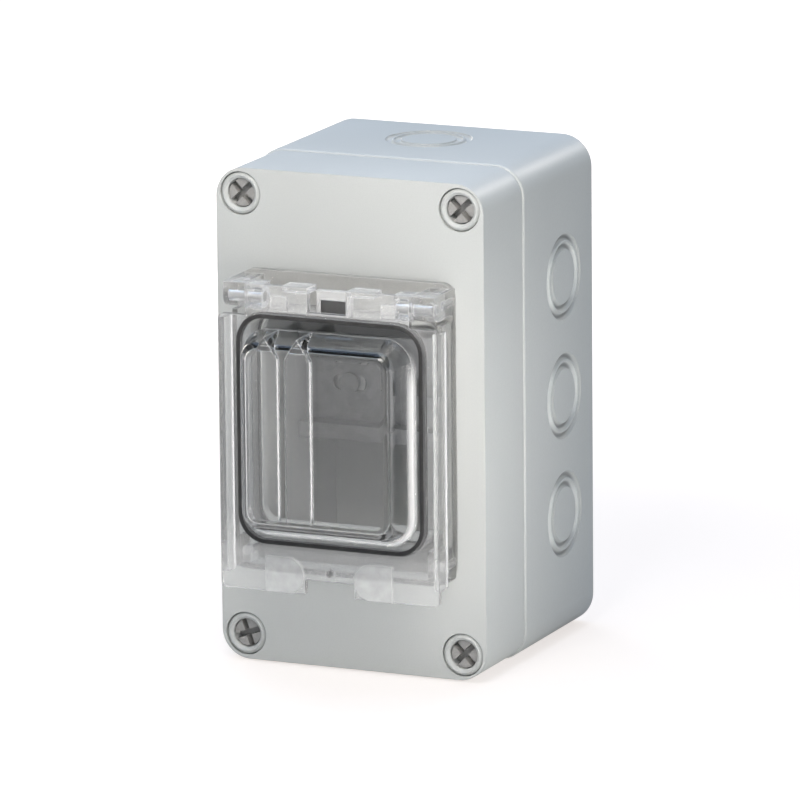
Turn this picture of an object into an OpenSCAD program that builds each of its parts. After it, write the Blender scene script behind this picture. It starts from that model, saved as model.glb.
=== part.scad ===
// Wall-mounted modular enclosure: a base box with break-out cable entries, a screwed cover and a
// clear hinged window over a mounting rail.
// Every piece is drawn lying on its back: x to the right, y up the wall, z away from the wall.
// stand() then turns it upright, with the wall face in the plane y = 0 and the front towards -y.

/* [Housing] */
// Width of the base
body_w = 92.5; // [90:0.5:120]
// Height of the base
body_h = 160; // [150:1:200]
// Depth from the wall to the front of the cover
body_d = 87; // [80:0.5:110]
// Depth of the cover alone
cover_d = 30.5; // [26:0.5:36]
// Radius of the four long corners
corner_r = 10; // [7:0.5:12]
// Thickness of the base's side walls
wall = 3; // [2.8:0.1:4]
// Thickness of the base's back
floor_t = 3; // [2.5:0.1:5]
// Thickness of the cover's front
front_t = 3; // [2.5:0.1:4]
// Rounding of the cover's front edge
front_edge_r = 2; // [0.5:0.1:3]
// Rounding of the base's back edge
back_edge_r = 1.5; // [0.5:0.1:2]
// Rounding of the base's mouth, seen as the bright seam
mouth_edge_r = 0.9; // [0.2:0.1:1]
// How far the cover stands inside the base's outline
cover_step = 0.6; // [0.1:0.1:0.6]

/* [Cover seal] */
// Height of the tongue on the base's mouth
tongue_h = 2.5; // [1.5:0.1:4]
// Thickness of that tongue
tongue_t = 1.2; // [1:0.1:1.4]
// Outer face of the tongue, measured in from the base's outline
tongue_inset = 1.7; // [1.4:0.1:1.7]
// Height of the foamed seal in the cover's groove
seal_h = 2.5; // [1.5:0.1:4]
// Thickness of the cover's inner rib beside the groove
rib_t = 1.3; // [1:0.1:2]

/* [Cover screws] */
// Distance of each screw from the two nearest sides
screw_inset = 8.8; // [8:0.1:10]
// Radius of the pillar's inner corner round each screw
pillar_r = 7; // [6.5:0.1:9]
// Diameter of the screw's shank
screw_d = 4; // [3:0.1:4.5]
// Diameter of the screw's head
head_d = 8.8; // [8:0.1:9.5]
// Height of the screw's head
head_h = 4.6; // [3.5:0.1:6]
// How far the head lies below the cover's front
head_sink = 1.6; // [0.5:0.1:2]
// Width of the cross slot in the head
slot_w = 1.9; // [1.5:0.1:3]
// Depth of the cross slot in the head
slot_h = 3.2; // [1:0.1:3.4]
// Turn of the cross slots with the cover closed
slot_turn = 45; // [0:5:85]
// Turn of the lower left screw's slots, which stand apart from the others
slot_turn_odd = 20; // [0:5:85]
// Thickness of the sealing washer under the head
washer_t = 1.2; // [0.8:0.1:2]
// Outer diameter of the retaining collar round the head
collar_d = 13.3; // [12.5:0.1:14]
// Height of that collar
collar_h = 2.5; // [1.8:0.1:3]
// Depth of the collar's bevelled mouth
collar_bevel = 0.8; // [0.5:0.1:1]
// Size of the bevel round the collar's outer edge
collar_rim = 0.8; // [0.4:0.1:0.9]
// Diameter of the threaded insert in the base's pillar
insert_d = 6; // [5.4:0.1:7]
// Length of the threaded insert
insert_len = 9; // [6:0.5:14]
// Diameter of the pillar's core, open at the wall
core_d = 8; // [5:0.5:9]
// Solid length between that core and the insert's hole
core_stop = 6; // [3:0.5:12]

/* [Cable entries] */
// Diameter of the outer break-out ring
entry_outer_d = 25.6; // [24:0.1:28]
// Diameter of the inner break-out ring
entry_inner_d = 19.8; // [16:0.1:20.5]
// Radius of the round groove that forms each ring
entry_groove_r = 1.1; // [0.6:0.1:1.3]
// Distance between neighbouring entries on a side
entry_pitch = 38.7; // [34:0.1:42]
// Distance of the entries from the wall
entry_rise = 24.7; // [20:0.1:30]

/* [Window frame] */
// Width of the frame's foot on the cover
frame_w = 72; // [70:0.1:74]
// Height of the frame's foot on the cover
frame_h = 95; // [94:0.5:98]
// How far the foot's middle lies above the middle of the cover
frame_lift = 0.5; // [0:0.1:1]
// Thickness of the foot
frame_t = 2.5; // [2:0.1:4]
// Corner radius of the foot
frame_r = 4; // [2:0.5:6]
// Height of the frame's outer skirt above the cover
skirt_h = 10; // [6:0.5:11]
// Thickness of that skirt
skirt_t = 2; // [1.5:0.1:2.4]
// Width of the throat that carries the window's seal
throat_w = 65; // [63:0.5:66]
// Height of the throat
throat_h = 75; // [70:0.5:75.5]
// Corner radius of the throat
throat_r = 10; // [6:0.5:10]
// Thickness of the throat's wall
throat_t = 2; // [1.5:0.1:2.5]
// Height of the throat above the cover
throat_rise = 13.5; // [12:0.5:16]
// Width of the cut-out in the cover
cutout_w = 60; // [54:0.5:61]
// Height of the cut-out in the cover
cutout_h = 66; // [60:0.5:67]
// Corner radius of that cut-out
cutout_r = 5; // [2:0.5:8]
// Width of the flat seal under the foot
foot_seal_w = 2; // [1.5:0.1:2.2]
// Thickness of the flat seal under the foot
foot_seal_t = 1; // [0.6:0.1:1.4]
// Width of the keeper loop above the throat
keeper_w = 12; // [10:0.1:13]
// Width of the bars round the keeper's slot
keeper_bar = 1.4; // [1:0.1:2]
// Height of the slot through the keeper loop
keeper_slot_h = 4; // [2.5:0.1:4.5]
// Height of the slot above the throat
keeper_slot_rise = 0.4; // [0.4:0.1:1.2]
// Height of the keeper loop above the throat
keeper_h = 7.4; // [6.4:0.1:7.6]
// Thickness of the keeper loop
keeper_t = 2.5; // [1.5:0.1:3]
// How far the keeper lies behind the hinge axis
keeper_back = 0.9; // [0.5:0.1:1.5]
// Width of the two stop ribs beside the keeper
stop_w = 5.6; // [4:0.1:6]
// Height of the stop ribs above the throat
stop_h = 4.6; // [3:0.1:5]
// Distance of the stop ribs from the middle
stop_x = 19; // [17:0.1:19.5]
// Diameter of the frame's fixing screws
frame_screw_d = 3; // [2.5:0.1:3.2]
// Distance of the lower screws from the foot's sides
frame_screw_in = 3.6; // [3:0.1:4]
// Height of the lower screws above the foot's lower edge
frame_screw_rise = 5.6; // [5:0.1:6]
// Length of those screws inside the frame
frame_screw_len = 7; // [5:0.5:8]
// Diameter of their heads
frame_head_d = 5.6; // [4.5:0.1:6]
// Height of their heads
frame_head_h = 2.2; // [1.5:0.1:3]

/* [Window flap] */
// Width of the flap
flap_w = 74.6; // [73:0.1:77]
// Corner radius of the flap's plate
flap_r = 1.5; // [0.5:0.1:2]
// Thickness of the flap's plate
flap_t = 2.5; // [2:0.1:3]
// Thickness of the seal between the throat and the flap
flap_seal_t = 2; // [1:0.1:3]
// Width of the seal ring behind the flap
flap_seal_w = 1.3; // [1:0.1:1.8]
// How far the finger lip hangs below the frame's foot
lip_drop = 4.7; // [3:0.1:6]
// Depth of the flap's side walls behind the plate's front
flap_side_h = 7.5; // [5:0.1:8]
// Thickness of the flap's side walls
flap_side_t = 2; // [1.5:0.1:2.5]
// Width of the raised pane at its foot
pane_w = 59.5; // [54:0.5:60]
// Height of the raised pane at its foot
pane_h = 67; // [60:0.5:68]
// Corner radius of the raised pane at its foot
pane_r = 9.5; // [8:0.5:10]
// How far the pane stands out from the plate
pane_rise = 10; // [6:0.5:12]
// How far the pane's walls lean inwards
pane_lean = 4.4; // [2:0.1:5]
// How far the pane's foot reaches into the plate round it
pane_bite = 1.5; // [1.3:0.1:1.7]
// Rounding of the pane's front edge
pane_edge_r = 4; // [2.4:0.1:4.2]
// Radius of the pane's inner edge
pane_inner_r = 0.6; // [0.3:0.1:1]
// Thickness of the pane
pane_t = 2; // [1.5:0.1:2.2]
// Width of each stiffening rib on the pane
rib_w = 8.8; // [7:0.1:10]
// Height of each stiffening rib
rib_h = 1.8; // [0.8:0.1:2.2]
// Height above the pane's middle at which each rib starts to taper
rib_shoulder = 26; // [20:0.5:26.5]
// Length of each rib's pointed upper end
rib_point = 6.8; // [4:0.1:7]
// Distance of each rib's lower end below the pane's middle
rib_foot = 26; // [20:0.5:26.5]
// Distance between the two ribs
rib_pitch = 11.2; // [11:0.1:12]
// Distance of the rib nearest the middle
rib_x = 5; // [4.6:0.1:5.6]
// Gap between the keeper and the notch for it in the flap's upper edge
keeper_gap = 0.6; // [0.4:0.1:1]
// Height of that notch's lower edge above the throat
keeper_notch_rise = 1.2; // [0.8:0.1:2]
// Width of the notch in the finger lip
lip_notch_w = 17; // [12:0.5:18]
// Diameter of the sealing-wire hole
wire_hole_d = 2.6; // [1.5:0.1:3]
// Width of the two thumb pads on the lip
pad_w = 13.3; // [10:0.1:14]
// Height of the thumb pads
pad_h = 12; // [9:0.1:12.5]
// How far the thumb pads stand out
pad_rise = 0.6; // [0.3:0.1:1]

/* [Window hinge] */
// Diameter of the hinge pins
pin_d = 3; // [2:0.1:3.2]
// Wall that closes the outer end of each pin's hole
pin_cover = 1.7; // [1:0.1:3]
// Height of the hinge axis above the cover
axis_rise = 13; // [12.5:0.1:13.4]
// Height of the hinge axis above the throat's upper side
axis_lift = 4.5; // [4.2:0.05:5.5]
// Radius of the hinge lugs
lug_r = 3.8; // [3:0.1:4]
// Height of the lug's brow above the hinge axis
brow_h = 4.5; // [4:0.1:4.6]
// How far the brow reaches in front of the hinge axis
brow_reach = 3.7; // [2.5:0.1:3.8]
// How far the flap's wide field ends below the hinge axis
wide_drop = 5.6; // [5.5:0.1:7]
// Distance between the two hinge lugs
lug_span = 56.6; // [54:0.1:58]
// Radius of the flap's knuckles
knuckle_r = 3.6; // [3:0.1:3.8]
// Width of the flap's knuckles
knuckle_w = 5.2; // [4:0.1:5.4]

/* [Mounting rail] */
// Width of the rail over its lips
rail_w = 35; // [35:0.5:36]
// Depth of the rail's hat section
rail_h = 7.5; // [7:0.1:8]
// Sheet thickness of the rail
rail_t = 1; // [0.8:0.1:1.5]
// Width of the rail's channel, outside
rail_channel_w = 27; // [25:0.5:28]
// Distance from the rail's lips to the cover's front, as rail-mounted devices need
device_d = 49; // [46:0.5:52]
// Gap between each end of the rail and the base's wall
rail_end_gap = 3; // [1:0.5:6]
// Length of each slot in the rail
rail_slot_len = 12; // [8:0.5:14]
// Width of each slot in the rail
rail_slot_w = 5.2; // [4:0.1:6.2]
// Distance between slots
rail_slot_pitch = 25; // [22:0.5:26]
// Diameter of the rail's screws
rail_screw_d = 4; // [3:0.1:4.5]
// Diameter of their heads
rail_head_d = 6.8; // [6.5:0.1:8]
// Height of their heads
rail_head_h = 1.3; // [1:0.1:3]
// Length of those screws in the boss
rail_screw_len = 10; // [6:0.5:12]
// Diameter of the bosses under the rail
boss_d = 10; // [8:0.5:12]

/* [Terminals] */
// Width of each terminal bar
bar_w = 26; // [24:1:30]
// Height of each terminal bar, up the wall
bar_h = 7; // [6:0.5:8]
// Depth of each terminal bar
bar_d = 9; // [8:0.5:11]
// Number of clamps on each bar
clamp_count = 4; // [3:1:5]
// Distance between clamps
clamp_pitch = 6; // [5.2:0.1:6]
// Diameter of the wire holes
wire_d = 4; // [3:0.1:4.2]
// Diameter of the clamp screws
clamp_screw_d = 3; // [2.5:0.1:3.4]
// How much wider the heads of the clamp screws are
clamp_rim = 1; // [0.6:0.1:1.4]
// Length of each clamp screw inside its bar
clamp_grip = 1.2; // [0.6:0.1:1.4]
// Distance of the terminals below the base's upper end
terminal_in = 28; // [24:0.5:34]
// Thickness of the carrier round and under the bars
carrier_t = 2; // [1.5:0.1:2.5]
// Height of the carrier's floor above the base's back
carrier_rise = 6; // [4:0.5:10]

/* [Wall fixing] */
// Diameter of the wall fixing holes
fixing_d = 5; // [4:0.1:6]
// Distance between the fixing holes across the base
fixing_x = 56; // [40:1:60]
// Distance between the fixing holes up the base
fixing_y = 132; // [124:1:136]
// Diameter of the raised rim round each hole
fixing_rim_d = 11; // [9:0.5:13]
// Height of that rim
fixing_rim_h = 3; // [1:0.5:6]

/* [Fits] */
// Gap between pieces that only lie beside each other
side_gap = 0.3; // [0.2:0.05:0.5]
// Radial gap of a running or push fit
run_gap = 0.05; // [0.02:0.01:0.1]

/* [Hidden] */
$fn = 64;
lap = 0.5;
base_d = body_d - cover_d;
screw_x = body_w / 2 - screw_inset;
screw_y = body_h / 2 - screw_inset;
tongue_end = tongue_inset + tongue_t;
groove_out = tongue_inset - side_gap;
groove_in = tongue_end + side_gap;
rib_end = groove_in + rib_t;
groove_h = tongue_h + seal_h;
head_top = body_d - head_sink;
head_bottom = head_top - head_h;
washer_bottom = head_bottom - washer_t;
head_hole_d = head_d + 2 * side_gap;
shank_hole_d = screw_d + 2 * side_gap;
insert_bottom = base_d - insert_len;
shank_end = insert_bottom + lap;
core_top = insert_bottom - core_stop;
frame_foot_y = frame_lift - frame_h / 2;
throat_top = body_d + throat_rise;
flap_back = throat_top + flap_seal_t;
flap_front = flap_back + flap_t;
pane_front = flap_front + pane_rise;
axis_y = throat_h / 2 + axis_lift;
axis_z = body_d + axis_rise;
flap_side_back = flap_front - flap_side_h;
lip_y = frame_foot_y - lip_drop;
flap_top_y = axis_y + brow_h;
flap_wide_y = axis_y - wide_drop;
flap_neck_w = lug_span - 2 * side_gap;
lug_w = (frame_w - lug_span) / 2;
pin_len = knuckle_w + side_gap + lug_w - pin_cover;
keeper_slot_w = keeper_w - 2 * keeper_bar;
keeper_slot_y = throat_h / 2 + keeper_slot_rise;
keeper_notch_w = keeper_w + 2 * keeper_gap;
keeper_notch_y = throat_h / 2 + keeper_notch_rise;
frame_screw_high_x = (lug_span + lug_w) / 2;
frame_screw_low_x = frame_w / 2 - frame_screw_in;
terminal_y = body_h / 2 - terminal_in;
flap_seal_in = throat_t - flap_seal_w;
pane_angle = atan(pane_lean / (pane_front - flap_back));
pane_cy = pane_h / 2 - pane_r;
roof_t = skirt_t;
keeper_z = axis_z - keeper_t - keeper_back;
frame_screw_low_y = frame_foot_y + frame_screw_rise;
frame_boss_w = frame_w / 2 - throat_w / 2 + skirt_t;
frame_boss_h = 2 * frame_screw_rise;
rail_front = body_d - device_d;
rail_back = rail_front - rail_h;
rail_len = body_w - 2 * wall - 2 * rail_end_gap;
rail_screw_x = rail_slot_pitch;
bar_z = floor_t + carrier_rise;
bar_x = bar_w / 2 + carrier_t;
carrier_w = 2 * bar_w + 4 * carrier_t;
clamp_head_d = clamp_screw_d + clamp_rim;
shell_grey = "#d9dbda";
clear_plastic = [0.85, 0.9, 0.93, 0.45];
seal_grey = "#4a4c4e";
head_grey = "#8d9091";
carrier_dark = "#4d5052";
zinc_steel = "#b9bdc1";
warm_brass = "#c9a655";

// Turns a piece from lying on its back to hanging on the wall
module stand() {
    rotate([90, 0, 0]) children();
}

// Repeats a piece on the left and on the right
module both_sides() {
    for (flip = [0, 1]) mirror([flip, 0, 0]) children();
}

// Repeats a piece in all four quarters
module four_corners() {
    for (flip = [0, 1]) mirror([0, flip, 0]) both_sides() children();
}

// Lays the axis of a piece along x
module along_x() {
    rotate([0, 90, 0]) children();
}

// Upright rectangle with round corners
module round_rect(w, h, r) {
    square([w - 2 * r, h], center = true);
    square([w, h - 2 * r], center = true);
    for (sx = [-1, 1], sy = [-1, 1]) translate([sx * (w / 2 - r), sy * (h / 2 - r)]) circle(r);
}

// Flat ring between two rectangles with round corners
module rect_ring(w, h, r, t) {
    difference() {
        round_rect(w, h, r);
        round_rect(w - 2 * t, h - 2 * t, r - t);
    }
}

// Half section of a wall whose two outer edges are rounded by e0 and e1
module edge_section(reach, z0, z1, e0, e1, inner) {
    translate([inner, z0 + e0]) square([reach - inner, z1 - z0 - e0 - e1]);
    translate([inner, z0]) square([reach - e0 - inner, z1 - z0]);
    translate([inner, z0]) square([reach - e1 - inner, z1 - z0]);
    if (e0 > 0) translate([reach - e0, z0 + e0]) circle(e0);
    if (e1 > 0) translate([reach - e1, z1 - e1]) circle(e1);
}

// Block with round long corners and rounded front and back edges, each edge rolled true
module soft_block(w, h, r, z0, z1, e0, e1) {
    cx = w / 2 - r;
    cy = h / 2 - r;
    intersection() {
        translate([-w, -h, z0]) cube([2 * w, 2 * h, z1 - z0]);
        union() {
            both_sides() translate([0, cy, 0]) rotate([90, 0, 0]) linear_extrude(2 * cy)
                edge_section(w / 2, z0, z1, e0, e1, -lap);
            for (flip = [0, 1]) mirror([0, flip, 0])
                translate([-cx, 0, 0]) rotate([90, 0, 90]) linear_extrude(2 * cx)
                    edge_section(h / 2, z0, z1, e0, e1, -lap);
            four_corners() translate([cx, cy, 0]) rotate_extrude() edge_section(r, z0, z1, e0, e1, 0);
        }
    }
}

// Filled half section of a wall that leans inwards by an angle and rolls over into a flat front
module lean_section(reach, z0, z1, angle, e) {
    run = (z1 - e - z0 + e * sin(angle)) / cos(angle);
    px = reach - run * sin(angle) - e * cos(angle);
    polygon([[0, z0], [reach, z0], [px + e * cos(angle), z1 - e + e * sin(angle)], [px, z1 - e], [px, z1],
        [0, z1]]);
    translate([px, z1 - e]) intersection() {
        circle(e);
        square(e);
    }
}

// Section of the pane's outside moved in by a depth, with its own edge radius
module pane_inset(depth, e) {
    reach = pane_r - depth / cos(pane_angle) + lap * tan(pane_angle);
    lean_section(reach, flap_back - lap, pane_front - depth, pane_angle, e);
}

// Section of the pane's wall, of one thickness all the way from its foot to its front
module pane_section() {
    difference() {
        lean_section(pane_r, flap_back, pane_front, pane_angle, pane_edge_r);
        pane_inset(pane_t, pane_inner_r);
    }
}

// Raised pane: its wall section carried round a rectangle with round corners, closed by a flat front
module pane() {
    cx = pane_w / 2 - pane_r;
    translate([-cx, -pane_cy, pane_front - pane_t]) cube([2 * cx, 2 * pane_cy, pane_t]);
    both_sides() translate([cx, pane_cy, 0]) rotate([90, 0, 0]) linear_extrude(2 * pane_cy) pane_section();
    for (flip = [0, 1]) mirror([0, flip, 0])
        translate([-cx, pane_cy, 0]) rotate([90, 0, 90]) linear_extrude(2 * cx) pane_section();
    four_corners() translate([cx, pane_cy, 0]) rotate_extrude(angle = 90) pane_section();
}

// Outline that runs at one distance inside the walls and passes inside the four screw pillars
module seal_outline(inset) {
    r = pillar_r - wall + inset;
    difference() {
        round_rect(body_w - 2 * inset, body_h - 2 * inset, corner_r - inset);
        four_corners() translate([screw_x, screw_y]) {
            circle(r);
            translate([-r, 0]) square([r + screw_inset, screw_inset]);
            translate([0, -r]) square([screw_inset, r + screw_inset]);
        }
    }
}

module seal_ring(inset_a, inset_b) {
    difference() {
        seal_outline(inset_a);
        seal_outline(inset_b);
    }
}

// Two round grooves round a break-out cable entry, at the surface z = 0
module entry_rings() {
    for (d = [entry_outer_d, entry_inner_d])
        rotate_extrude() translate([d / 2, 0]) circle(entry_groove_r);
}

module base_shell() {
    difference() {
        soft_block(body_w, body_h, corner_r, 0, base_d, back_edge_r, mouth_edge_r);
        translate([0, 0, floor_t]) linear_extrude(base_d) seal_outline(wall);
    }
    translate([0, 0, base_d - lap]) linear_extrude(tongue_h + lap) seal_ring(tongue_inset, tongue_end);
}

module base_housing() {
    color(shell_grey) stand() difference() {
        union() {
            base_shell();
            both_sides() translate([rail_screw_x, 0, lap]) cylinder(d = boss_d, h = rail_back - lap);
            four_corners() translate([fixing_x / 2, fixing_y / 2, lap])
                cylinder(d = fixing_rim_d, h = floor_t + fixing_rim_h - lap);
            both_sides() translate([bar_x, terminal_y, lap])
                cylinder(d = boss_d, h = bar_z - carrier_t - lap);
        }
        four_corners() translate([screw_x, screw_y, 0]) {
            translate([0, 0, insert_bottom]) cylinder(d = insert_d + 2 * run_gap, h = base_d);
            translate([0, 0, -lap]) cylinder(d = core_d, h = core_top + lap);
        }
        four_corners() translate([fixing_x / 2, fixing_y / 2, -lap]) cylinder(d = fixing_d, h = base_d);
        both_sides() translate([rail_screw_x, 0, rail_back - rail_screw_len - lap])
            cylinder(d = rail_screw_d + 2 * run_gap, h = base_d);
        both_sides() for (i = [-1 : 1]) translate([body_w / 2, i * entry_pitch, entry_rise])
            along_x() entry_rings();
        for (flip = [0, 1]) mirror([0, flip, 0])
            translate([0, body_h / 2, entry_rise]) rotate([90, 0, 0]) entry_rings();
    }
}

module threaded_inserts() {
    color(warm_brass) stand() four_corners() translate([screw_x, screw_y, insert_bottom]) difference() {
        cylinder(d = insert_d, h = insert_len);
        translate([0, 0, -lap]) cylinder(d = screw_d + 2 * run_gap, h = insert_len + 2 * lap);
    }
}

module cover() {
    outer_w = body_w - 2 * cover_step;
    outer_h = body_h - 2 * cover_step;
    color(shell_grey) stand() difference() {
        soft_block(outer_w, outer_h, corner_r - cover_step, base_d, body_d, 0, front_edge_r);
        translate([0, 0, base_d - lap]) linear_extrude(cover_d - front_t + lap) seal_outline(rib_end);
        translate([0, 0, base_d - lap]) linear_extrude(groove_h + lap) seal_ring(groove_out, groove_in);
        translate([0, 0, base_d]) linear_extrude(cover_d + lap) round_rect(cutout_w, cutout_h, cutout_r);
        four_corners() translate([screw_x, screw_y, 0]) {
            translate([0, 0, base_d - lap]) cylinder(d = shank_hole_d, h = cover_d);
            translate([0, 0, washer_bottom]) cylinder(d = head_hole_d, h = cover_d);
            translate([0, 0, body_d - collar_h]) cylinder(d = collar_d + 2 * side_gap, h = cover_d);
        }
        frame_screw_places() translate([0, 0, base_d])
            cylinder(d = frame_screw_d + 2 * side_gap, h = cover_d + lap);
    }
}

module cover_gasket() {
    color(seal_grey) stand() translate([0, 0, base_d + tongue_h]) linear_extrude(seal_h)
        seal_ring(groove_out + run_gap, groove_in - run_gap);
}

module cover_screw(side_x, side_y, rest_turn) {
    color(head_grey) stand() translate([side_x * screw_x, side_y * screw_y, 0]) difference() {
        union() {
            translate([0, 0, shank_end]) cylinder(d = screw_d, h = head_top - shank_end);
            translate([0, 0, head_bottom]) cylinder(d = head_d, h = head_h);
        }
        for (turn = [0, 90]) rotate([0, 0, turn + rest_turn])
            translate([-head_d, -slot_w / 2, head_top - slot_h]) cube([2 * head_d, slot_w, 2 * slot_h]);
    }
}

module cover_screw_top_left() {
    cover_screw(-1, 1, slot_turn);
}

module cover_screw_top_right() {
    cover_screw(1, 1, slot_turn);
}

module cover_screw_bottom_left() {
    cover_screw(-1, -1, slot_turn_odd);
}

module cover_screw_bottom_right() {
    cover_screw(1, -1, slot_turn);
}

// Rings that keep the screws in the cover, with a bevelled mouth
module screw_collars() {
    color(shell_grey) stand() four_corners() translate([screw_x, screw_y, body_d - collar_h]) difference() {
        union() {
            cylinder(d = collar_d, h = collar_h - collar_rim);
            translate([0, 0, collar_h - collar_rim])
                cylinder(d1 = collar_d, d2 = collar_d - 2 * collar_rim, h = collar_rim);
        }
        translate([0, 0, -lap]) cylinder(d = head_hole_d, h = collar_h + 2 * lap);
        translate([0, 0, collar_h - collar_bevel])
            cylinder(d1 = head_hole_d, d2 = head_hole_d + 2 * collar_bevel, h = collar_bevel);
    }
}

module screw_washers() {
    color(seal_grey) stand() four_corners() translate([screw_x, screw_y, washer_bottom]) difference() {
        cylinder(d = head_d, h = washer_t);
        translate([0, 0, -lap]) cylinder(d = screw_d + 2 * run_gap, h = washer_t + 2 * lap);
    }
}

// Places of the four screws that hold the window frame: two under the hinge lugs, two at the foot
module frame_screw_places() {
    both_sides() {
        translate([frame_screw_high_x, axis_y, 0]) children();
        translate([frame_screw_low_x, frame_screw_low_y, 0]) children();
    }
}

// Hinge lug: a barrel round the pin on a web, under a square brow
module hinge_lug() {
    translate([lug_span / 2, axis_y, axis_z]) along_x() cylinder(r = lug_r, h = lug_w);
    translate([lug_span / 2, axis_y - lug_r, body_d + lap]) cube([lug_w, 2 * lug_r, axis_rise - lap]);
    translate([lug_span / 2, axis_y, body_d + lap]) cube([lug_w, brow_h, axis_rise + brow_reach - lap]);
}

// Upright on the throat's upper wall
module throat_upright(w, h) {
    translate([-w / 2, throat_h / 2 - throat_t, keeper_z]) cube([w, h + throat_t, keeper_t]);
}

module frame_solid() {
    translate([0, frame_lift, body_d]) linear_extrude(frame_t) round_rect(frame_w, frame_h, frame_r);
    translate([0, 0, body_d]) linear_extrude(throat_rise) round_rect(throat_w, throat_h, throat_r);
    translate([0, frame_lift, body_d]) linear_extrude(skirt_h) intersection() {
        rect_ring(frame_w, frame_h, frame_r, skirt_t);
        translate([-frame_w, -frame_h - frame_lift]) square([2 * frame_w, frame_h + flap_wide_y]);
    }
    both_sides() translate([frame_w / 2 - frame_boss_w, frame_foot_y + lap, body_d])
        cube([frame_boss_w - lap, frame_boss_h - lap, skirt_h]);
    both_sides() hinge_lug();
    throat_upright(keeper_w, keeper_h);
    both_sides() translate([stop_x, 0, 0]) throat_upright(stop_w, stop_h);
}

module window_frame() {
    color(clear_plastic) stand() difference() {
        frame_solid();
        translate([0, 0, body_d - lap]) linear_extrude(throat_rise + 2 * lap)
            round_rect(throat_w - 2 * throat_t, throat_h - 2 * throat_t, throat_r - throat_t);
        translate([0, 0, body_d - lap]) linear_extrude(foot_seal_t + lap) foot_seal_outline(run_gap);
        translate([-keeper_slot_w / 2, keeper_slot_y, keeper_z - lap])
            cube([keeper_slot_w, keeper_slot_h, keeper_t + 2 * lap]);
        frame_screw_places() translate([0, 0, body_d - lap])
            cylinder(d = frame_screw_d + 2 * run_gap, h = frame_screw_len + 2 * lap);
        both_sides() translate([lug_span / 2 - lap, axis_y, axis_z]) along_x()
            cylinder(d = pin_d + 2 * run_gap, h = pin_len - knuckle_w - side_gap + 2 * lap);
    }
}

// Flat seal round the throat, under the frame's foot
module foot_seal_outline(spare) {
    difference() {
        round_rect(throat_w + 2 * spare, throat_h + 2 * spare, throat_r + spare);
        round_rect(throat_w - 2 * foot_seal_w - 2 * spare, throat_h - 2 * foot_seal_w - 2 * spare,
            throat_r - foot_seal_w - spare);
    }
}

module frame_gasket() {
    color(seal_grey) stand() translate([0, 0, body_d]) linear_extrude(foot_seal_t) foot_seal_outline(0);
}

module frame_screws() {
    color(zinc_steel) stand() frame_screw_places() {
        translate([0, 0, body_d - front_t - lap])
            cylinder(d = frame_screw_d, h = front_t + frame_screw_len + lap);
        translate([0, 0, body_d - front_t - frame_head_h]) cylinder(d = frame_head_d, h = frame_head_h);
    }
}

// Dark insert pressed into the keeper's slot
module keeper_insert() {
    color(seal_grey) stand() translate([run_gap - keeper_slot_w / 2, keeper_slot_y + run_gap, keeper_z])
        cube([keeper_slot_w - 2 * run_gap, keeper_slot_h - 2 * run_gap, keeper_t]);
}

// Front plate of the flap: a wide field, a neck between the hinge lugs, a notch for the keeper at the
// top and a notched finger lip
module flap_outline() {
    difference() {
        union() {
            translate([0, (flap_wide_y + lip_y) / 2]) round_rect(flap_w, flap_wide_y - lip_y, flap_r);
            translate([-flap_neck_w / 2, 0]) square([flap_neck_w, flap_top_y]);
        }
        translate([-lip_notch_w / 2, lip_y - lap]) square([lip_notch_w, lip_drop + lap]);
        translate([-keeper_notch_w / 2, keeper_notch_y]) square([keeper_notch_w, flap_top_y]);
        translate([0, frame_foot_y + wire_hole_d]) circle(d = wire_hole_d);
    }
}

// Outline of a rib: straight sides under a pointed upper end
module rib_outline() {
    polygon([[-rib_w / 2, -rib_foot], [rib_w / 2, -rib_foot], [rib_w / 2, rib_shoulder],
        [0, rib_shoulder + rib_point], [-rib_w / 2, rib_shoulder]]);
}

// Rib standing on the front of the pane, whose point runs down the pane's upper wall
module pane_rib(x) {
    translate([x, 0, 0]) {
        translate([0, 0, pane_front - lap]) linear_extrude(rib_h + lap) rib_outline();
        difference() {
            translate([0, 0, flap_front]) linear_extrude(pane_front - flap_front) intersection() {
                rib_outline();
                translate([-rib_w, pane_cy]) square([2 * rib_w, pane_h]);
            }
            translate([-rib_w, pane_cy, 0]) rotate([90, 0, 90]) linear_extrude(2 * rib_w)
                pane_inset(pane_t / 2, pane_edge_r / 2);
        }
    }
}

// Thumb pad with one round side, beside the lip's notch
module thumb_pad() {
    translate([lip_notch_w / 2, lip_y, flap_front - lap]) linear_extrude(pad_rise + lap) {
        translate([pad_h / 2, 0]) square([pad_w - pad_h / 2, pad_h]);
        translate([pad_h / 2, pad_h / 2]) circle(pad_h / 2);
    }
}

// Bearing of the flap on its pin, with the web that joins it to the plate
module flap_knuckle() {
    translate([flap_neck_w / 2 - knuckle_w, axis_y, axis_z]) along_x()
        cylinder(r = knuckle_r, h = knuckle_w);
    translate([flap_neck_w / 2 - knuckle_w, axis_y - knuckle_r, axis_z])
        cube([knuckle_w, 2 * knuckle_r, flap_front - lap - axis_z]);
}

// Roof behind the flap's upper edge, cut through for the keeper and notched for the stop ribs
module flap_roof() {
    difference() {
        translate([-flap_neck_w / 2, flap_top_y - roof_t, flap_side_back])
            cube([flap_neck_w, roof_t, flap_side_h - lap]);
        translate([-keeper_notch_w / 2, 0, 0]) cube([keeper_notch_w, body_h, 2 * body_d]);
        both_sides() translate([stop_x - stop_w / 2 - keeper_gap, 0, 0])
            cube([stop_w + 2 * keeper_gap, body_h, flap_back]);
    }
}

module flap_side() {
    translate([flap_w / 2 - flap_side_t, frame_foot_y, flap_side_back])
        cube([flap_side_t, flap_wide_y - flap_r - frame_foot_y, flap_side_h - lap]);
}

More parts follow.
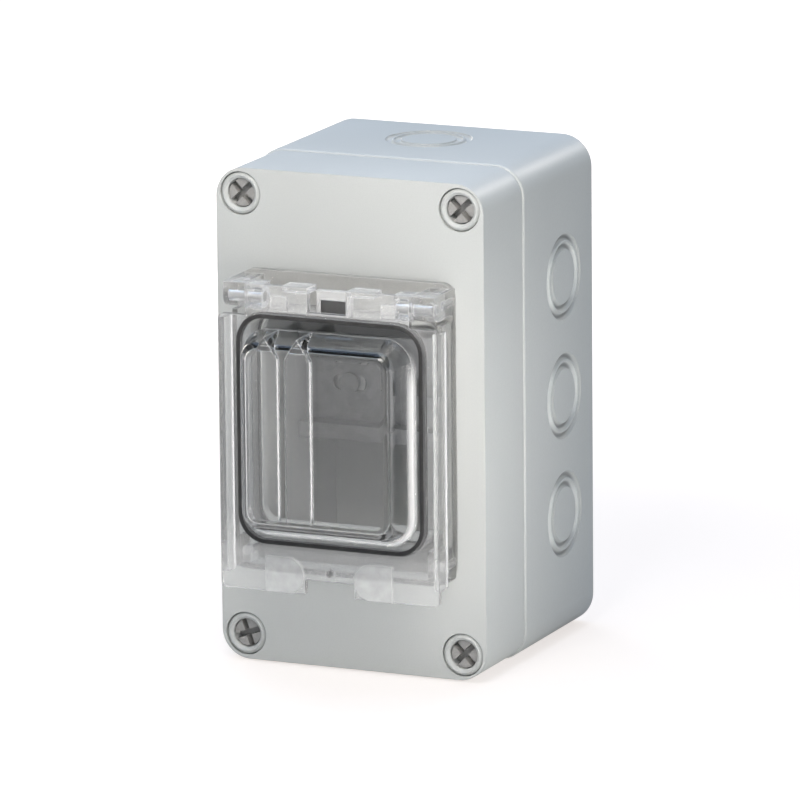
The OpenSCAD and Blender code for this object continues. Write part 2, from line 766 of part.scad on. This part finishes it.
module window_flap() {
    color(clear_plastic) stand() difference() {
        union() {
            translate([0, 0, flap_back]) linear_extrude(flap_t) difference() {
                flap_outline();
                round_rect(pane_w - 2 * pane_bite, pane_h - 2 * pane_bite, pane_r - pane_bite);
            }
            pane();
            for (i = [0, 1]) pane_rib(-rib_x - i * rib_pitch);
            both_sides() thumb_pad();
            both_sides() flap_side();
            both_sides() flap_knuckle();
            flap_roof();
        }
        both_sides() translate([flap_neck_w / 2 - knuckle_w - lap, axis_y, axis_z]) along_x()
            cylinder(d = pin_d + 2 * run_gap, h = knuckle_w + 2 * lap);
    }
}

module flap_gasket() {
    w = throat_w - 2 * flap_seal_in;
    h = throat_h - 2 * flap_seal_in;
    color(seal_grey) stand() translate([0, 0, throat_top]) linear_extrude(flap_seal_t)
        rect_ring(w, h, throat_r - flap_seal_in, flap_seal_w);
}

module hinge_pin() {
    translate([flap_neck_w / 2 - knuckle_w, axis_y, axis_z]) along_x() cylinder(d = pin_d, h = pin_len);
}

module hinge_pin_left() {
    color(zinc_steel) stand() mirror([1, 0, 0]) hinge_pin();
}

module hinge_pin_right() {
    color(zinc_steel) stand() hinge_pin();
}

// Hat-section rail with a row of slots
module din_rail() {
    channel = rail_channel_w / 2;
    color(zinc_steel) stand() difference() {
        translate([-rail_len / 2, 0, rail_back]) rotate([90, 0, 90]) linear_extrude(rail_len) {
            translate([-channel, 0]) square([2 * channel, rail_t]);
            for (s = [-1, 1]) {
                translate([s * (channel - rail_t / 2) - rail_t / 2, 0]) square([rail_t, rail_h]);
                translate([s * (rail_w / 2 + channel - rail_t) / 2 - (rail_w / 2 - channel + rail_t) / 2,
                    rail_h - rail_t]) square([rail_w / 2 - channel + rail_t, rail_t]);
            }
        }
        for (i = [-1 : 1]) translate([i * rail_slot_pitch, 0, rail_back - lap])
            linear_extrude(rail_t + 2 * lap) for (s = [-1, 1]) {
                square([rail_slot_len - rail_slot_w, rail_slot_w], center = true);
                translate([s * (rail_slot_len - rail_slot_w) / 2, 0]) circle(d = rail_slot_w);
            }
    }
}

module rail_screws() {
    color(zinc_steel) stand() both_sides() translate([rail_screw_x, 0, rail_back]) {
        translate([0, 0, -rail_screw_len]) cylinder(d = rail_screw_d, h = rail_screw_len + rail_t + lap);
        translate([0, 0, rail_t]) cylinder(d = rail_head_d, h = rail_head_h);
    }
}

// Carrier with two open pockets for the terminal bars
module terminal_carrier() {
    color(carrier_dark) stand() translate([0, terminal_y, bar_z - carrier_t]) difference() {
        translate([-carrier_w / 2, -bar_h / 2 - carrier_t, 0])
            cube([carrier_w, bar_h + 2 * carrier_t, bar_d / 2 + carrier_t]);
        both_sides() translate([bar_x - bar_w / 2 - run_gap, -bar_h / 2 - run_gap, carrier_t])
            cube([bar_w + 2 * run_gap, bar_h + 2 * run_gap, bar_d]);
    }
}

// Places of the clamps along one bar
module clamp_places() {
    for (i = [0 : clamp_count - 1]) translate([(i - (clamp_count - 1) / 2) * clamp_pitch, 0, 0]) children();
}

module terminal_bar() {
    translate([bar_x, terminal_y, bar_z]) difference() {
        translate([-bar_w / 2, -bar_h / 2, 0]) cube([bar_w, bar_h, bar_d]);
        clamp_places() {
            translate([0, bar_h, bar_d / 2 + wire_d / 4]) rotate([90, 0, 0])
                cylinder(d = wire_d, h = 2 * bar_h);
            translate([0, 0, bar_d / 2]) cylinder(d = clamp_screw_d + 2 * run_gap, h = bar_d);
        }
    }
}

module earth_bar() {
    color(warm_brass) stand() mirror([1, 0, 0]) terminal_bar();
}

module neutral_bar() {
    color(warm_brass) stand() terminal_bar();
}

module terminal_screws() {
    color(zinc_steel) stand() both_sides() translate([bar_x, terminal_y, bar_z + bar_d])
        clamp_places() {
        translate([0, 0, -clamp_grip]) cylinder(d = clamp_screw_d, h = clamp_grip + lap);
        cylinder(d = clamp_head_d, h = clamp_screw_d / 2);
    }
}

base_housing();
threaded_inserts();
cover();
cover_gasket();
cover_screw_top_left();
cover_screw_top_right();
cover_screw_bottom_left();
cover_screw_bottom_right();
screw_collars();
screw_washers();
window_frame();
frame_gasket();
frame_screws();
keeper_insert();
window_flap();
flap_gasket();
hinge_pin_left();
hinge_pin_right();
din_rail();
rail_screws();
terminal_carrier();
earth_bar();
neutral_bar();
terminal_screws();
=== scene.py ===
"""Looks of a wall-mounted modular enclosure with a clear hinged window, over its solid model.

Lengths are metres. The wall face lies in the plane y = 0, the front looks towards -y and z points up.
A pair of numbers is where a soft step starts and ends.
"""
import math

import bpy
import numpy as np
from mathutils import Matrix, Vector


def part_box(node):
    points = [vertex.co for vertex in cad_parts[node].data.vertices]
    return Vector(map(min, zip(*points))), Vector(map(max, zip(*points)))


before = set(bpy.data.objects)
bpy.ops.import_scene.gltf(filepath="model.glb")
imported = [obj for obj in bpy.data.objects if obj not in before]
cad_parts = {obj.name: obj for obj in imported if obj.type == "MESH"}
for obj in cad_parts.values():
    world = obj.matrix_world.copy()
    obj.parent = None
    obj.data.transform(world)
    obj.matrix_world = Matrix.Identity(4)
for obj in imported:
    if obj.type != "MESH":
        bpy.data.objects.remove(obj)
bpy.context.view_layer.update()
MM = 0.001
FULL_TURN = 2 * math.pi

# Places taken from the solid model
BASE_LOW, BASE_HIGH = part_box("base_housing")
HALF_WIDTH = BASE_HIGH.x
FOOT_Z = BASE_LOW.z

# Cable entries on the sides: distance from the wall, distance between them and their ring radii
ENTRY_RISE = 24.7 * MM
ENTRY_PITCH = 38.7 * MM
ENTRY_RADII = (12.8 * MM, 9.9 * MM)
ENTRY_MIDDLE = sum(ENTRY_RADII) / len(ENTRY_RADII)

# Painted shade in a ring's groove and the painted highlight band over both rings: how far each spreads
# across the ring
SHADE_SPREAD = (0.2 * MM, 1.3 * MM)
HIGHLIGHT_SPREAD = (1.0 * MM, 2.4 * MM)

# Painted shade lies at a ring's top and bottom: share of the ring's radius by which a place is above
# its middle
SHADE_CLIMB = (0.50, 0.95)

# Distance from the middle plane at which the grooves give way to the sides' faces, and the skin starts
FACE_START = (HALF_WIDTH - 1.5 * MM, HALF_WIDTH - 0.4 * MM)
SKIN_START = (HALF_WIDTH - 3 * MM, HALF_WIDTH - 2 * MM)

# Cover screws: thread and turning marks, the shank's radius and where its thread begins
THREAD_PITCH = 0.7 * MM
TURNING_PITCH = 0.35 * MM
SHANK_EDGE = (2.05 * MM, 2.15 * MM)
THREAD_START = (-62 * MM, -61.5 * MM)

# Width of the painted highlight band along the clear plastic's edges, and the turn of the face that
# shows it
EDGE_HIGHLIGHT_WIDTH = 0.7 * MM
EDGE_TURN = (0.03, 0.30)

# Foot of the raised pane: half its width, half its height and its corner radius
PANE_HALF = (29.75 * MM, 33.5 * MM)
PANE_ROUND = 9.5 * MM

# Distances outside the pane's foot where the flap's plate and its milky field start
PLATE_START = (0.2 * MM, 1.2 * MM)
FIELD_START = (3.2 * MM, 5.0 * MM)

# Height above or below the middle where the plate's ends start
ENDS_START = (36.5 * MM, 39.0 * MM)

# Depths at which the pane's front face and the crests of its ribs end
PANE_FRONT = (-114.9 * MM, -114.6 * MM)
RIB_CREST = (-116.7 * MM, -116.4 * MM)

# Finger pads at the flap's lower end: the depths they lie between and where they end upwards
PAD_DEPTHS = (-105.8 * MM, -105.3 * MM)
PAD_TOP = (-41 * MM, -38 * MM)

# Painted highlight band inside the pane's foot: its inset, its half width and the height where it
# fades
LINE_INSET = 0.8 * MM
LINE_SPREAD = (0.25 * MM, 1.2 * MM)
LINE_FADE = (16 * MM, 30 * MM)

# Box of the keeper loop above the pane, from its low to its high corner
KEEPER_LOW = (-6.1 * MM, -99.3 * MM, 37.6 * MM)
KEEPER_HIGH = (6.1 * MM, -96.4 * MM, 45.1 * MM)

# Floor: gap under the part's foot, radii of its rings and points on each ring
FLOOR_GAP = 0.1 * MM
FLOOR_RINGS = (0.0, 0.5, 1.5, 4.0, 9.0)
FLOOR_POINTS = 48

# Floor: where its glow fades behind the part, where it grows beside the part, and the shadow's reach
GLOW_BEHIND = (-0.17, 0.05)
GLOW_BESIDE = (0.02, 0.09)
SHADOW_REACH = (0.10, 0.38)

# View of the photograph: turned to the right, raised, rolled a little, seen from far away
IMAGE_SIDE = 800
FOCAL_PIXELS = 8000
SENSOR = 36.0
VIEW_TURN = math.radians(24.0)
VIEW_RISE = math.radians(12.72)
VIEW_ROLL = math.radians(-0.55)
VIEW_DISTANCE = 2553.8 * MM
VIEW_PIVOT = Vector((0, -37 * MM, 0))
VIEW_SHIFT = (4.98 * MM, 2.63 * MM)
VIEW_CLIP = (0.1, 20.0)

# Points that the lamps are turned to
MIDDLE = Vector((0, 0, 0))
UPPER_MIDDLE = Vector((0, 0, 0.05))
WINDOW = Vector((0, -90 * MM, 20 * MM))
RIGHT_CORNER = Vector((46 * MM, -110 * MM, -10 * MM))


class Socket:
    """A shader socket on which Python operators add Math nodes.

    An index picks another output of its node.
    """

    def __init__(self, finish, socket):
        self.finish = finish
        self.socket = socket

    def __getitem__(self, output):
        return Socket(self.finish, self.socket.node.outputs[output])

    def math(self, operation, *terms):
        return self.finish.node("ShaderNodeMath", {"operation": operation}, dict(enumerate(terms)))

    def __add__(self, other):
        return self.math("ADD", self, other)

    def __radd__(self, other):
        return self.math("ADD", other, self)

    def __sub__(self, other):
        return self.math("SUBTRACT", self, other)

    def __rsub__(self, other):
        return self.math("SUBTRACT", other, self)

    def __mul__(self, other):
        return self.math("MULTIPLY", self, other)

    def __rmul__(self, other):
        return self.math("MULTIPLY", other, self)

    def __truediv__(self, other):
        return self.math("DIVIDE", self, other)

    def __abs__(self):
        return self.math("ABSOLUTE", self)

    def sqrt(self):
        return self.math("SQRT", self)

    def sine(self):
        return self.math("SINE", self)

    def at_least(self, least):
        return self.math("MAXIMUM", self, least)

    def between(self, low, high):
        """1 from low to high, else 0."""
        return self.math("GREATER_THAN", self, low) * self.math("LESS_THAN", self, high)

    def over(self, low, high):
        """Rises smoothly from 0 at low to 1 at high."""
        return self.finish.node(
            "ShaderNodeMapRange",
            {"interpolation_type": "SMOOTHSTEP"},
            {"Value": self, "From Min": low, "From Max": high},
        )

    def under(self, low, high):
        """Falls smoothly from 1 at low to 0 at high."""
        return 1 - self.over(low, high)


class Finish:
    """A material under construction.

    node() adds any node from its type, its settings and the values or links of its sockets.
    """

    def __init__(self, name):
        self.material = bpy.data.materials.new(name)
        self.material.use_nodes = True
        self.tree = self.material.node_tree
        self.tree.nodes.clear()

    def node(self, kind, settings=None, sockets=None):
        made = self.tree.nodes.new(kind)
        for name, value in (settings or {}).items():
            setattr(made, name, value)
        for name, value in (sockets or {}).items():
            if isinstance(value, Socket):
                self.tree.links.new(value.socket, made.inputs[name])
            else:
                made.inputs[name].default_value = value
        if not made.outputs:
            return None
        return Socket(self, next(output for output in made.outputs if output.enabled))

    def place(self):
        """Object coordinates, which are the row frame's metres on every piece."""
        return self.node("ShaderNodeTexCoord")["Object"]

    def axes(self):
        """The x, y and z of the place."""
        split = self.node("ShaderNodeSeparateXYZ", None, {"Vector": self.place()})
        return split["X"], split["Y"], split["Z"]

    def noise(self, size, detail=3.0, vector=None):
        """Noise from 0 to 1 whose blotches are about size metres across."""
        sockets = {"Vector": vector or self.place(), "Scale": 1 / size, "Detail": detail}
        return self.node("ShaderNodeTexNoise", None, sockets)

    def drawn(self, along, across):
        """Noise of fine marks that run along x: so many to the metre along them and across them."""
        sockets = {"Vector": self.place(), "Scale": (along, across, across)}
        return self.noise(1.0, vector=self.node("ShaderNodeMapping", None, sockets))

    def blend(self, share, first, second):
        """A colour that goes from first to second as share goes from 0 to 1."""
        sockets = {0: share, 6: first, 7: second}
        return self.node("ShaderNodeMix", {"data_type": "RGBA"}, sockets)

    def soft_edges(self, radius):
        """Normal that rounds sharp edges by a small radius."""
        return self.node("ShaderNodeBevel", {"samples": 4}, {"Radius": radius})

    def bump(self, height, distance, strength, normal=None):
        """Normal raised by height times distance, on top of another normal where one is given."""
        sockets = {"Height": height, "Distance": distance, "Strength": strength}
        if normal is not None:
            sockets["Normal"] = normal
        return self.node("ShaderNodeBump", None, sockets)

    def surface(self, sockets):
        """A surface shader with these values and links."""
        return self.node("ShaderNodeBsdfPrincipled", None, sockets)

    def see_through(self, colour):
        """A surface that light passes straight, tinted by a colour."""
        return self.node("ShaderNodeBsdfTransparent", None, {"Color": colour})

    def layers(self, share, first, second):
        """A surface that goes from first to second as share goes from 0 to 1."""
        return self.node("ShaderNodeMixShader", None, {0: share, 1: first, 2: second})

    def close(self, surface):
        """The finished material with this surface."""
        self.node("ShaderNodeOutputMaterial", None, {"Surface": surface})
        return self.material

    def done(self, sockets):
        """The finished material with one surface shader."""
        return self.close(self.surface(sockets))


def grey(level, warmth=0.0):
    """A near-neutral colour: warmth above 0 leans to red, below 0 to blue."""
    return (level * (1 + warmth), level, level * (1 - warmth), 1.0)


def tinted(level):
    """The housing's light grey, a little green."""
    return (level * 0.985, level * 1.005, level * 0.985, 1.0)


def entry_shade_and_highlight(y, z):
    """Painted shade and painted highlight of the cable entries' rings, each from 0 to 1.

    Both follow the distance from an entry's middle: painted shade lies on each ring's groove, at its
    top and bottom, and a pale band of painted highlight covers both rings at their left and right.
    """
    depth = y + ENTRY_RISE
    groove_shade = pale = 0
    for step in (-1, 0, 1):
        height = z - step * ENTRY_PITCH
        distance = (depth * depth + height * height).sqrt()
        climb = (abs(height) / distance).over(*SHADE_CLIMB)
        for radius in ENTRY_RADII:
            groove_shade = groove_shade + climb * abs(distance - radius).under(*SHADE_SPREAD)
        pale = pale + (1 - climb) * abs(distance - ENTRY_MIDDLE).under(*HIGHLIGHT_SPREAD)
    return groove_shade, pale


def housing_finish():
    """Light grey moulded plastic: eroded texture, slight flow marks, painted shade and painted
    highlight on the side break-out rings.
    """
    f = Finish("housing_plastic")
    x, y, z = f.axes()
    flow = f.noise(60 * MM, 2.0)
    speck = f.noise(0.5 * MM, 2.0)
    grain = f.noise(0.35 * MM, 2.0)
    # Painted shade at the entry rings' tops and bottoms, painted highlight at their left and right
    # sides
    groove_shade, pale = entry_shade_and_highlight(y, z)
    skin = abs(x).over(*SKIN_START)
    groove = skin * abs(x).under(*FACE_START)
    plain = f.blend(flow.over(0.3, 0.7), tinted(0.605), tinted(0.635))
    flecked = f.blend(speck.over(0.35, 0.75) * 0.25, plain, tinted(0.55))
    # Painted highlight: a pale band over the side entry rings at their left and right
    highlighted = f.blend(pale * skin * 0.85, flecked, tinted(0.86))
    return f.done({
        # Painted shade darkens the entry rings' grooves at their tops and bottoms
        "Base Color": f.blend(groove_shade * groove, highlighted, grey(0.17, 0.03)),
        "Roughness": 0.36 + 0.12 * flow + 0.06 * speck,
        "IOR": 1.58,
        "Normal": f.bump(grain, 0.02 * MM, 0.35, f.soft_edges(0.35 * MM)),
    })


def screw_finish(name, centre):
    """Grey filled plastic of a cover screw: turning marks on its head, a thread on its shank's end.

    The thread is a sine of the depth plus the angle about the screw's axis, so that it climbs.
    """
    f = Finish(name)
    x, y, z = f.axes()
    dx = x - centre.x
    dz = z - centre.z
    radius = (dx * dx + dz * dz).sqrt()
    angle = dx.math("ARCTAN2", dz, dx)
    fibre = f.noise(0.6 * MM)
    shank = radius.under(*SHANK_EDGE)
    thread = (y * (FULL_TURN / THREAD_PITCH) + angle).sine() * shank * y.over(*THREAD_START)
    turning = (radius * (FULL_TURN / TURNING_PITCH)).sine() * (1 - shank)
    relief = thread * 0.25 + turning * 0.012 + fibre * 0.03
    return f.done({
        "Base Color": f.blend(fibre.over(0.3, 0.75), grey(0.33, 0.03), grey(0.40, 0.02)),
        "Roughness": 0.38 + 0.18 * fibre,
        "IOR": 1.53,
        "Normal": f.bump(relief, 0.3 * MM, 0.6, f.soft_edges(0.25 * MM)),
    })


def pane_rim(x, z):
    """Distance outside the pane's foot, a rectangle with round corners; negative on the pane."""
    dx = (abs(x) - (PANE_HALF[0] - PANE_ROUND)).at_least(0)
    dz = (abs(z) - (PANE_HALF[1] - PANE_ROUND)).at_least(0)
    return (dx * dx + dz * dz).sqrt() - PANE_ROUND


def keeper_loop(x, y, z):
    """1 in the keeper loop's box, else 0."""
    inside = zip((x, y, z), KEEPER_LOW, KEEPER_HIGH)
    across, deep, tall = (axis.between(low, high) for axis, low, high in inside)
    return across * deep * tall


def clear_finish():
    """Clear moulded plastic: a clean pane in a milkier plate, flow waves, a painted highlight along
    the edges.

    The frost share is white frost on the clear body: real frost on the plate, its ends, the keeper
    loop and the finger pads; partly haze and partly painted reflection on the pane's front; painted
    reflection on the rib crests; and a painted highlight along the edges and the pane's lower foot. A
    shadow ray passes straight, dimmer on the pane than on the plate.
    """
    f = Finish("clear_plastic")
    x, y, z = f.axes()
    waves = f.noise(14 * MM, 1.0)
    haze = f.noise(3 * MM)
    rounded = f.soft_edges(EDGE_HIGHLIGHT_WIDTH)
    face = f.node("ShaderNodeNewGeometry")["Normal"]
    product = {"operation": "DOT_PRODUCT"}
    alike = f.node("ShaderNodeVectorMath", product, {0: rounded, 1: face})["Value"]
    # Painted highlight: white frost where the rounded normal turns away from the face, along the edges
    edge_highlight = (1 - alike).over(*EDGE_TURN)
    rim = pane_rim(x, z)
    field = rim.over(*FIELD_START)
    ends = abs(z).over(*ENDS_START)
    front = y.under(*PANE_FRONT)
    crests = y.under(*RIB_CREST)
    pads = y.between(*PAD_DEPTHS) * z.under(*PAD_TOP)
    line = abs(rim + LINE_INSET).under(*LINE_SPREAD) * z.under(*LINE_FADE)
    # Frost on the pane's front is partly haze, partly a painted reflection; on the rib crests it is a
    # painted reflection
    frost_and_painted_light = field * (0.03 + 0.06 * haze) + ends * 0.10 + front * 0.07 + crests * 0.07
    # The band along the pane's lower foot is a painted highlight
    frost_and_painted_light = frost_and_painted_light + line * 0.7 + keeper_loop(x, y, z) * 0.25 + pads * (0.09 + 0.18 * haze)
    body = f.surface({
        "Base Color": (0.985, 0.99, 0.99, 1.0),
        "Roughness": 0.01 + 0.05 * haze.over(0.45, 0.8),
        "IOR": 1.5,
        "Transmission Weight": 1.0,
        "Normal": f.bump(waves, 0.10 * MM, 0.5, f.soft_edges(0.3 * MM)),
    })
    frost = f.surface({"Base Color": grey(0.86), "Roughness": 0.5, "Normal": rounded})
    seen = f.layers(frost_and_painted_light + edge_highlight * (0.35 + 0.4 * haze), body, frost)
    dimmed = f.see_through((0.60, 0.61, 0.62, 1.0))
    passed = f.layers(rim.over(*PLATE_START), dimmed, f.see_through(grey(0.985)))
    shadow = f.node("ShaderNodeLightPath")["Is Shadow Ray"]
    return f.close(f.layers(shadow, seen, passed))


def seal_finish():
    """Dark foamed rubber with small pores and a chalky bloom."""
    f = Finish("seal_rubber")
    pores = f.noise(0.4 * MM, 4.0)
    bloom = f.noise(6 * MM)
    return f.done({
        "Base Color": f.blend(bloom.over(0.35, 0.75), grey(0.075), grey(0.12, 0.01)),
        "Roughness": 0.55 + 0.3 * pores,
        "Normal": f.bump(pores, 0.06 * MM, 0.7),
    })


def zinc_finish():
    """Galvanised steel: spangle cells of slightly different brightness, dulled by a thin film."""
    f = Finish("zinc_steel")
    sockets = {"Vector": f.place(), "Scale": 1 / (2.5 * MM)}
    cells = f.node("ShaderNodeTexVoronoi", {"feature": "F1"}, sockets)
    tone = f.node("ShaderNodeSeparateColor", None, {"Color": cells["Color"]})
    streak = f.drawn(60, 1500)
    return f.done({
        "Base Color": f.blend(tone, grey(0.36, -0.01), grey(0.46, -0.01)),
        "Metallic": 1.0,
        "Roughness": 0.34 + 0.14 * tone + 0.12 * streak,
        "Normal": f.bump(streak, 0.02 * MM, 0.4, f.soft_edges(0.2 * MM)),
    })


def brass_finish():
    """Drawn brass: marks along the bar, and a thin brown bloom."""
    f = Finish("terminal_brass")
    streak = f.drawn(80, 2600)
    bloom = f.noise(5 * MM)
    bright, brown = (0.73, 0.53, 0.23, 1.0), (0.5, 0.33, 0.14, 1.0)
    return f.done({
        "Base Color": f.blend(bloom.over(0.4, 0.8), bright, brown),
        "Metallic": 1.0,
        "Roughness": 0.24 + 0.22 * streak,
        "Normal": f.bump(streak, 0.02 * MM, 0.5, f.soft_edges(0.2 * MM)),
    })


def carrier_finish():
    """Dark filled plastic with a coarse moulded grain."""
    f = Finish("carrier_plastic")
    grain = f.noise(0.5 * MM)
    return f.done({
        "Base Color": f.blend(grain.over(0.3, 0.8), grey(0.065), grey(0.10)),
        "Roughness": 0.45 + 0.25 * grain,
        "Normal": f.bump(grain, 0.04 * MM, 0.5, f.soft_edges(0.25 * MM)),
    })


def floor_finish():
    """Pale floor that looks white to the camera, with a soft shadow zone round the part.

    Other rays meet a grey floor that glows in front of the part and most of all beside it.
    """
    f = Finish("pale_floor")
    x, y, _ = f.axes()
    soft = f.noise(0.4, 2.0)
    away = (x * x + y * y).sqrt().over(*SHADOW_REACH)
    white = f.blend(away, (0.70, 0.66, 0.64, 1.0), (0.92, 0.87, 0.85, 1.0))
    share = y.under(*GLOW_BEHIND) * (0.3 + 0.7 * x.over(*GLOW_BESIDE))
    glow = f.blend(share, (0.05, 0.05, 0.06, 1.0), (0.95, 0.93, 0.88, 1.0))
    path = f.node("ShaderNodeLightPath")
    seen = path["Is Camera Ray"].at_least(path["Is Transmission Ray"])
    return f.done({
        "Base Color": f.blend(soft, grey(0.33), grey(0.36)),
        "Roughness": 0.8,
        "Emission Color": f.blend(seen, glow, white),
        "Emission Strength": 1.0,
    })


def dress(finish, *nodes):
    """Gives CAD nodes a finish in place of their plain one."""
    for name in nodes:
        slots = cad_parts[name].data.materials
        slots.clear()
        slots.append(finish)


def dress_all():
    """Gives every CAD node its finish; each cover screw has its own, about its own axis."""
    dress(housing_finish(), "base_housing", "cover", "screw_collars")
    dress(clear_finish(), "window_frame", "window_flap")
    dress(seal_finish(), "cover_gasket", "screw_washers", "frame_gasket", "flap_gasket",
          "keeper_insert")
    dress(zinc_finish(), "din_rail", "rail_screws", "frame_screws", "hinge_pin_left",
          "hinge_pin_right", "terminal_screws")
    dress(brass_finish(), "earth_bar", "neutral_bar", "threaded_inserts")
    dress(carrier_finish(), "terminal_carrier")
    for corner in ("top_left", "top_right", "bottom_left", "bottom_right"):
        node = "cover_screw_" + corner
        low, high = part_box(node)
        dress(screw_finish("screw_plastic_" + corner, (low + high) / 2), node)


def studio_floor():
    """Flat floor that reaches all round: a disc of rings, each a circle about the part's foot."""
    turn = np.linspace(0, FULL_TURN, FLOOR_POINTS, endpoint=False)
    radius, angle = np.meshgrid(np.array(FLOOR_RINGS), turn, indexing="ij")
    level = np.full_like(radius, FOOT_Z - FLOOR_GAP)
    points = np.stack([radius * np.cos(angle), radius * np.sin(angle), level], axis=-1)
    step = np.arange(FLOOR_POINTS)
    after = (step + 1) % FLOOR_POINTS
    faces = []
    for ring in range(1, len(FLOOR_RINGS)):
        low, high = (ring - 1) * FLOOR_POINTS, ring * FLOOR_POINTS
        faces += np.stack([low + step, high + step, high + after, low + after], axis=1).tolist()
    mesh = bpy.data.meshes.new("studio_floor")
    mesh.from_pydata(points.reshape(-1, 3).tolist(), [], faces)
    mesh.materials.append(floor_finish())
    floor = bpy.data.objects.new("studio_floor", mesh)
    bpy.context.scene.collection.objects.link(floor)


def lamp(name, place, aim, size, watts, colour, spread=math.pi, mirrored=True):
    """Square soft box at a place, turned to a point; spread is the angle its grid lets through.

    A lamp that isn't mirrored lights matt faces but leaves no glint on glossy ones.
    """
    data = bpy.data.lights.new(name, "AREA")
    data.size = size
    data.energy = watts
    data.color = colour
    data.spread = spread
    made = bpy.data.objects.new(name, data)
    made.visible_glossy = mirrored
    place = Vector(place)
    turn = (aim - place).to_track_quat("-Z", "Y").to_matrix().to_4x4()
    made.matrix_world = Matrix.Translation(place) @ turn
    bpy.context.scene.collection.objects.link(made)


def studio_light():
    """Soft boxes: key at the upper left, two at the right corner, a cool one above, two behind."""
    lamp("key_box", (-0.35, -0.95, 0.75), WINDOW, 0.4, 0.68, (1.0, 1.0, 0.97))
    lamp("near_box", (0.05, -0.30, 0.28), WINDOW, 0.12, 0.70, (1.0, 0.95, 0.90))
    lamp("side_grid", (0.34, -0.27, -0.02), RIGHT_CORNER, 0.10, 0.016, (1.0, 0.95, 0.88),
         spread=math.radians(24), mirrored=False)
    lamp("side_box", (0.17, -0.20, -0.01), RIGHT_CORNER, 0.08, 0.054, (0.98, 0.98, 1.0),
         mirrored=False)
    lamp("top_box", (-0.2, 0.30, 1.3), MIDDLE, 1.4, 11.0, (0.55, 0.72, 1.0))
    lamp("rim_box", (0.3, 1.2, 0.55), UPPER_MIDDLE, 0.25, 2.4, (1.0, 0.95, 0.9))
    lamp("fill_box", (-0.8, 0.7, 0.12), MIDDLE, 0.35, 4.2, (1.0, 0.93, 0.85))


def surround():
    """Soft cool surround that lights the part, pale where the camera looks past the floor."""
    world = bpy.data.worlds.new("studio_surround")
    world.use_nodes = True
    tree = world.node_tree
    cool = tree.nodes["Background"]
    cool.inputs["Color"].default_value = (0.80, 0.91, 1.0, 1.0)
    cool.inputs["Strength"].default_value = 0.30
    pale = tree.nodes.new("ShaderNodeBackground")
    pale.inputs["Strength"].default_value = 0.8
    seen = tree.nodes.new("ShaderNodeLightPath")
    mixed = tree.nodes.new("ShaderNodeMixShader")
    tree.links.new(seen.outputs["Is Camera Ray"], mixed.inputs[0])
    tree.links.new(cool.outputs[0], mixed.inputs[1])
    tree.links.new(pale.outputs[0], mixed.inputs[2])
    tree.links.new(mixed.outputs[0], tree.nodes["World Output"].inputs["Surface"])
    bpy.context.scene.world = world


def photo_camera():
    """Camera of the photograph, from its turn, rise, roll and distance."""
    back = Vector((
        math.sin(VIEW_TURN) * math.cos(VIEW_RISE),
        -math.cos(VIEW_TURN) * math.cos(VIEW_RISE),
        math.sin(VIEW_RISE),
    ))
    level = Vector((math.cos(VIEW_TURN), math.sin(VIEW_TURN), 0))
    upright = back.cross(level)
    right = level * math.cos(VIEW_ROLL) + upright * math.sin(VIEW_ROLL)
    up = upright * math.cos(VIEW_ROLL) - level * math.sin(VIEW_ROLL)
    place = VIEW_PIVOT - right * VIEW_SHIFT[0] - up * VIEW_SHIFT[1] + back * VIEW_DISTANCE
    data = bpy.data.cameras.new("photo_camera")
    data.sensor_width = SENSOR
    data.lens = SENSOR * FOCAL_PIXELS / IMAGE_SIDE
    data.clip_start, data.clip_end = VIEW_CLIP
    camera = bpy.data.objects.new("photo_camera", data)
    turn = Matrix((right, up, back)).transposed().to_4x4()
    camera.matrix_world = Matrix.Translation(place) @ turn
    bpy.context.scene.collection.objects.link(camera)
    bpy.context.scene.camera = camera


dress_all()
studio_floor()
studio_light()
surround()
photo_camera()
bpy.context.scene.view_settings.view_transform = "Standard"
